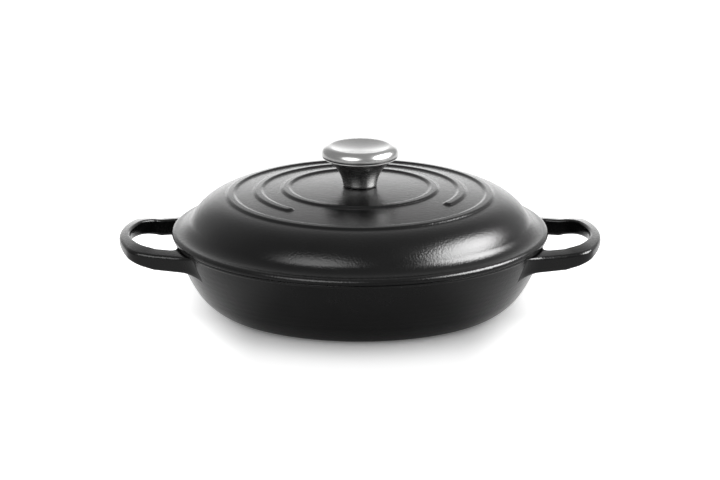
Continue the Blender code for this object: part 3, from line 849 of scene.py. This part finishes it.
def loop_rings():
    """The rings of corners of a whole loop at +X, from its root at +Y to its root at -Y."""
    run_end = RIM_RADIUS + LOOP_ROOT_FILLET
    outer = loop_outline(
        LOOP_REACH,
        LOOP_OUTER_BOW_RADIUS,
        LOOP_OUTER_BOW_ANGLE,
        LOOP_OUTER_CORNER_RADIUS,
        LOOP_OUTER_SPLAY,
        run_end,
    )
    inner = loop_outline(
        LOOP_HOLE_REACH,
        LOOP_INNER_BOW_RADIUS,
        LOOP_INNER_BOW_ANGLE,
        LOOP_INNER_CORNER_RADIUS,
        LOOP_INNER_SPLAY,
        run_end,
    )
    sections = [loop_section(far, near) for far, near in zip(outer, inner)]
    splay = math.radians((LOOP_OUTER_SPLAY + LOOP_INNER_SPLAY) / 2)
    heading = Vector((-math.cos(splay), math.sin(splay), 0.0))
    half = [[corner for corner, away in section] for section in sections[:-1]]
    half += loop_root(sections[-1], heading)
    mirrored = [[Vector((corner.x, -corner.y, corner.z)) for corner in ring] for ring in half[1:]]
    return half[::-1] + mirrored


def loop_piece(name, side, finish):
    shape = bmesh.new()
    rings = []
    for ring in loop_rings():
        rings.append([shape.verts.new((side * corner.x, side * corner.y, corner.z)) for corner in ring])
    for ring, following in zip(rings, rings[1:]):
        for index in range(len(ring)):
            after = (index + 1) % len(ring)
            shape.faces.new((ring[index], ring[after], following[after], following[index]))
    shape.faces.new(rings[0])
    shape.faces.new(rings[-1])
    mesh = bpy.data.meshes.new(name)
    shape.to_mesh(mesh)
    shape.free()
    mesh.materials.append(finish)
    clean(mesh)
    return add_piece(name, mesh)


# The screw's recess


def cross_cutter():
    """A cross-shaped prism that cuts the driver's recess into the screw's head."""
    arm = SCREW_RECESS_LENGTH / 2
    half = SCREW_RECESS_WIDTH / 2
    outline = []
    for quarter in range(4):
        turn = math.pi / 2 * quarter
        for across, along in ((half, half), (arm, half), (arm, -half)):
            x = across * math.cos(turn) + along * math.sin(turn)
            y = along * math.cos(turn) - across * math.sin(turn)
            outline.append((x, y))
    low = KNOB_BASE + SCREW_HEAD_LOW - SCREW_RECESS_DEPTH
    high = KNOB_BASE + SCREW_HEAD_LOW + SCREW_RECESS_DEPTH
    shape = bmesh.new()
    rings = [[shape.verts.new((x, y, height)) for x, y in outline] for height in (low, high)]
    for index in range(len(outline)):
        after = (index + 1) % len(outline)
        shape.faces.new((rings[0][index], rings[0][after], rings[1][after], rings[1][index]))
    shape.faces.new(rings[0])
    shape.faces.new(rings[1])
    bmesh.ops.recalc_face_normals(shape, faces=shape.faces)
    mesh = bpy.data.meshes.new("driver_recess")
    shape.to_mesh(mesh)
    shape.free()
    return add_piece("driver_recess", mesh)


def cut_recess(screw):
    cutter = cross_cutter()
    modifier = screw.modifiers.new("driver_recess", "BOOLEAN")
    modifier.operation = "DIFFERENCE"
    modifier.solver = "EXACT"
    modifier.object = cutter
    bpy.context.view_layer.update()
    ready = screw.evaluated_get(bpy.context.evaluated_depsgraph_get())
    mesh = bpy.data.meshes.new_from_object(ready)
    screw.modifiers.remove(modifier)
    bpy.data.objects.remove(cutter, do_unlink=True)
    screw.data = mesh
    clean(mesh)


# Pieces

turning = turning_tree()
black = enamel("satin_black_enamel")
pan_body = turned_piece("pan_body", pan_profile(), PAN_SEGMENTS, black, turning)
fit(pan_body, "pan", "pan_casting")
for side, name in ((1, "right_loop"), (-1, "left_loop")):
    fit(loop_piece(name, side, black), "pan", "pan_casting")

lid_black = enamel("satin_black_enamel_lid")
lid = turned_piece("lid", lid_profile(), LID_SEGMENTS, lid_black, turning, closed=True)
lid.data = run_tree(lid, ring_tree(), {**RING_SIZES, "Material": lid_black})
lid.data.name = "lid"
clean(lid.data)
fit(lid, "lid", "lid_casting")

# The cap's steel is darker than the stem's: painted shade, which dims its reflections of the white world and
# the soft boxes
shaded_cap_finish = brushed_steel("brushed_cap_steel_painted_shade", 0.21, 0.25, 0.4)
stem_finish = brushed_steel("brushed_stem_steel", 0.42, 0.27, 0.4)
screw_finish = brushed_steel("turned_screw_steel", 0.55, 0.28, 0.3)
cap = turned_piece("cap_shell", cap_shell(), KNOB_SEGMENTS, shaded_cap_finish, turning)
fit(cap, "knob", "knob_cap")
stem = turned_piece("stem_shell", stem_shell(), KNOB_SEGMENTS, stem_finish, turning, closed=True)
fit(stem, "knob", "knob_stem")
washer = turned_piece("flat_washer", washer_ring(), SCREW_SEGMENTS, screw_finish, turning, closed=True)
fit(washer, "knob", "screw_washer")
screw = turned_piece("lid_screw", screw_shank(), SCREW_SEGMENTS, screw_finish, turning)
cut_recess(screw)
fit(screw, "knob", "knob_screw")
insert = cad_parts["knob_insert"]
for slot in insert.material_slots:
    slot.material = screw_finish

# Studio: a white floor and world, with a bright back and two soft boxes that only gloss shows


def background_rays(tree):
    """1 for the rays that show the background: the camera's, and those in gloss and through glass."""
    camera_sees, gloss_sees, glass_sees = [
        tree.node("ShaderNodeLightPath", output="Is " + kind + " Ray")
        for kind in ("Camera", "Glossy", "Transmission")
    ]
    return (camera_sees + gloss_sees + glass_sees).math("MINIMUM", 1.0)


def floor():
    """White to the camera and in gloss, with the object's shadow; a glow painted on towards the sides
    shortens the shadow there.
    """
    finish, tree, shader = new_finish("white_floor")
    place = tree.node("ShaderNodeTexCoord", output="Object")
    aside = abs(tree.node("ShaderNodeSeparateXYZ", None, [place], output="X"))
    # Painted light: the floor glows more at the sides, so the object's shadow is short there
    lift = FLOOR_LIFT + aside.rise(*SIDE_PAINTED_LIGHT_RISE) * SIDE_PAINTED_LIGHT
    shader.inputs["Base Color"].default_value = grey(FLOOR_GREY)
    shader.inputs["Roughness"].default_value = 1.0
    shader.inputs["Specular IOR Level"].default_value = 0.0
    shader.inputs["Emission Strength"].default_value = 1.0
    tree.feed(shader.inputs["Emission Color"], background_rays(tree) * lift)
    half = FLOOR_HALF
    mesh = bpy.data.meshes.new("floor")
    corners = [(-half, -half, 0.0), (half, -half, 0.0), (half, half, 0.0), (-half, half, 0.0)]
    mesh.from_pydata(corners, [], [(0, 1, 2, 3)])
    mesh.materials.append(finish)
    add_piece("floor", mesh)


def studio_world():
    """White to the camera and in gloss, brighter low behind in gloss; plain light from above otherwise."""
    world = bpy.data.worlds.new("studio")
    bpy.context.scene.world = world
    world.use_nodes = True
    world.node_tree.nodes.clear()
    tree = Tree(world.node_tree)
    way = tree.node("ShaderNodeTexCoord", output="Generated")
    aside, back, up = [tree.node("ShaderNodeSeparateXYZ", None, [way], output=axis) for axis in "XYZ"]
    behind = (back > 0.0) * (1.0 - abs(aside).rise(*PANEL_EDGE))
    panel = tree.node("ShaderNodeValToRGB", {"stops": PANEL_STOPS}, [up])
    plain = up.math("MAXIMUM", 0.0) ** SKY_FALL * (SKY_FALL + 2.0) / 2.0
    white = background_rays(tree)
    glossy = tree.node("ShaderNodeLightPath", output="Is Glossy Ray")
    strength = white + glossy * behind * panel * PANEL_LEVEL + (1.0 - white) * plain
    sky = tree.node("ShaderNodeBackground", None, {"Color": grey(1.0), "Strength": strength})
    leave = world.node_tree.nodes.new("ShaderNodeOutputWorld")
    tree.feed(leave.inputs["Surface"], sky)


def soft_box(name, azimuth, elevation, width, height, radiance):
    """A soft box that fades to its edges; azimuth 0 is towards the camera, 90 towards +X."""
    turn = math.radians(azimuth)
    rise = math.radians(elevation)
    way = Vector((math.sin(turn) * math.cos(rise), -math.cos(turn) * math.cos(rise), math.sin(rise)))
    lamp = bpy.data.lights.new(name, "AREA")
    lamp.shape = "RECTANGLE"
    lamp.size = width
    lamp.size_y = height
    lamp.energy = radiance * math.pi * width * height
    lamp.use_nodes = True
    tree = Tree(lamp.node_tree)
    place = tree.node("ShaderNodeNewGeometry", output="Parametric")
    across = tree.node("ShaderNodeSeparateXYZ", None, [place], output="X") * 2.0 - 1.0
    upward = tree.node("ShaderNodeSeparateXYZ", None, [place], output="Y") * 2.0 - 1.0
    away = (across * across + upward * upward).math("SQRT")
    tree.feed(lamp.node_tree.nodes["Emission"].inputs["Strength"], 1.0 - away.rise(*SOFT_BOX_FADE))
    box = bpy.data.objects.new(name, lamp)
    box.location = way * SOFT_BOX_DISTANCE + Vector(SOFT_BOX_AIM)
    box.rotation_euler = way.to_track_quat("Z", "Y").to_euler()
    box.visible_diffuse = False
    bpy.context.collection.objects.link(box)


def camera():
    lens = bpy.data.cameras.new("camera")
    lens.sensor_width = 36.0
    lens.lens = CAMERA_LENS
    lens.clip_end = 50.0
    eye = bpy.data.objects.new("camera", lens)
    eye.location = CAMERA_PLACE
    eye.rotation_euler = (math.radians(CAMERA_TILT), 0.0, 0.0)
    bpy.context.collection.objects.link(eye)
    bpy.context.scene.camera = eye


camera()
floor()
studio_world()
soft_box("right_soft_box", 86.0, 36.0, 2.1, 1.25, 62.0)
soft_box("left_soft_box", -31.0, 36.0, 1.8, 1.2, 14.0)
bpy.context.scene.view_settings.view_transform = "Standard"
